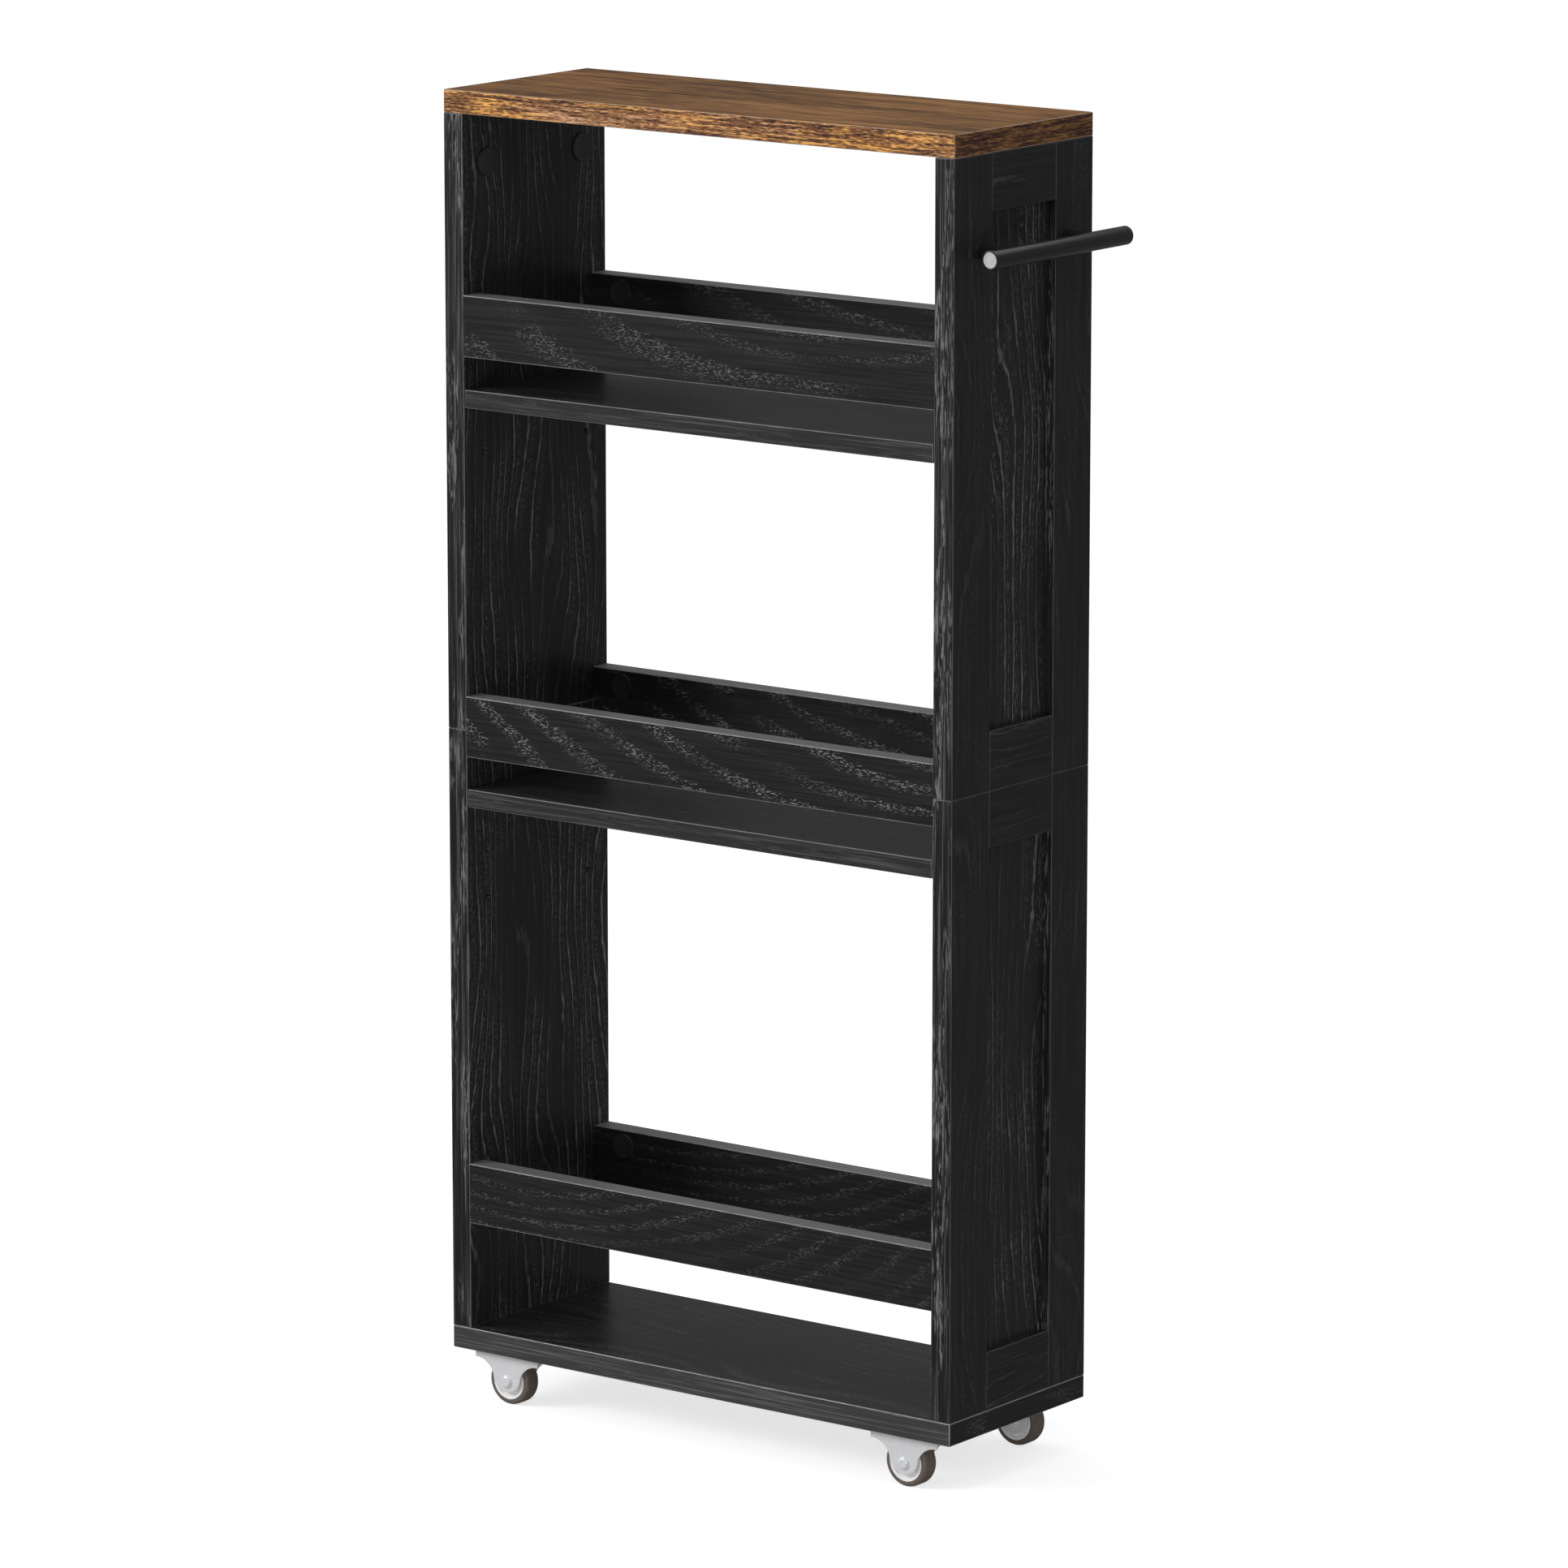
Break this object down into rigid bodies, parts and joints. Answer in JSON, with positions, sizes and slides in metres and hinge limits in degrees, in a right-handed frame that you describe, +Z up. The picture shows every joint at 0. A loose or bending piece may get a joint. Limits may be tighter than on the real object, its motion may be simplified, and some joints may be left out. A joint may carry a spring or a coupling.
{
  "type": "rolling pantry cart",
  "caption": "Slim three-tier rolling storage cart with a wood-look top, black framed sides, guard rails front and rear, adjustable shelves, a bar handle and small plate casters.",
  "frame": {"origin": "on the floor, under the middle of the whole cart, handle included", "axes": "+X along the cart towards the handle, -Y the front, +Z up"},
  "size_m": [0.434, 0.148, 0.8646],
  "materials": {
    "rustic_board": "rustic brown oak print laminate, satin",
    "black_board": "black oak-grain embossed laminate on board, satin",
    "black_cap": "moulded black plastic",
    "beech_dowel": "plain beech",
    "black_metal": "black powder coat, satin",
    "grey_plug": "light grey moulded plastic",
    "cam_zinc": "die-cast zinc alloy",
    "fastener_steel": "zinc-plated steel",
    "zinc_steel": "pressed steel sheet, bright zinc plate",
    "hub_plastic": "white moulded plastic",
    "tyre_rubber": "grey-brown soft rubber"
  },
  "bodies": {
    "frame": {"base_panel": "black_board", "base_screws": "fastener_steel", "cam_bolts": "fastener_steel", "cam_caps": "black_cap", "cam_locks": "cam_zinc", "caster_screws": "fastener_steel", "front_left_axle": "zinc_steel", "front_left_bracket": "zinc_steel", "front_right_axle": "zinc_steel", "front_right_bracket": "zinc_steel", "guard_cam_caps": "black_cap", "handle_bar": "black_metal", "handle_plugs": "grey_plug", "handle_posts": "black_metal", "handle_screws": "fastener_steel", "left_lower_board": "black_board", "left_lower_bottom_strip": "black_board", "left_lower_front_stile": "black_board", "left_lower_rear_stile": "black_board", "left_lower_top_strip": "black_board", "left_upper_board": "black_board", "left_upper_bottom_strip": "black_board", "left_upper_front_stile": "black_board", "left_upper_rear_stile": "black_board", "left_upper_top_strip": "black_board", "lower_front_guard": "black_board", "lower_rear_guard": "black_board", "middle_front_guard": "black_board", "middle_rear_guard": "black_board", "middle_shelf_pins": "fastener_steel", "rear_left_axle": "zinc_steel", "rear_left_bracket": "zinc_steel", "rear_right_axle": "zinc_steel", "rear_right_bracket": "zinc_steel", "right_lower_board": "black_board", "right_lower_bottom_strip": "black_board", "right_lower_front_stile": "black_board", "right_lower_rear_stile": "black_board", "right_lower_top_strip": "black_board", "right_upper_board": "black_board", "right_upper_bottom_strip": "black_board", "right_upper_front_stile": "black_board", "right_upper_rear_stile": "black_board", "right_upper_top_strip": "black_board", "top_panel": "rustic_board", "upper_front_guard": "black_board", "upper_rear_guard": "black_board", "upper_shelf_pins": "fastener_steel", "wooden_dowels": "beech_dowel"},
    "front_left_wheel_set": {"front_left_wheel": "hub_plastic", "front_left_tyre": "tyre_rubber"},
    "front_right_wheel_set": {"front_right_wheel": "hub_plastic", "front_right_tyre": "tyre_rubber"},
    "rear_left_wheel_set": {"rear_left_wheel": "hub_plastic", "rear_left_tyre": "tyre_rubber"},
    "rear_right_wheel_set": {"rear_right_wheel": "hub_plastic", "rear_right_tyre": "tyre_rubber"},
    "upper_shelf_body": {"upper_shelf": "black_board"},
    "middle_shelf_body": {"middle_shelf": "black_board"}
  },
  "joints": [
    {"name": "front_left_wheel_spin", "type": "hinge", "parent": "frame", "child": "front_left_wheel_set", "pos_m": [-0.177, -0.0597, 0.016], "axis": [0, 1, 0], "continuous": true},
    {"name": "front_right_wheel_spin", "type": "hinge", "parent": "frame", "child": "front_right_wheel_set", "pos_m": [0.145, -0.0597, 0.016], "axis": [0, 1, 0], "continuous": true},
    {"name": "rear_left_wheel_spin", "type": "hinge", "parent": "frame", "child": "rear_left_wheel_set", "pos_m": [-0.177, 0.0597, 0.016], "axis": [0, 1, 0], "continuous": true},
    {"name": "rear_right_wheel_spin", "type": "hinge", "parent": "frame", "child": "rear_right_wheel_set", "pos_m": [0.145, 0.0597, 0.016], "axis": [0, 1, 0], "continuous": true},
    {"name": "middle_shelf_lift", "type": "slide", "parent": "frame", "child": "middle_shelf_body", "axis": [0, 0, 1], "range_m": [0, 0.02]},
    {"name": "upper_shelf_lift", "type": "slide", "parent": "frame", "child": "upper_shelf_body", "axis": [0, 0, 1], "range_m": [0, 0.02]}
  ]
}
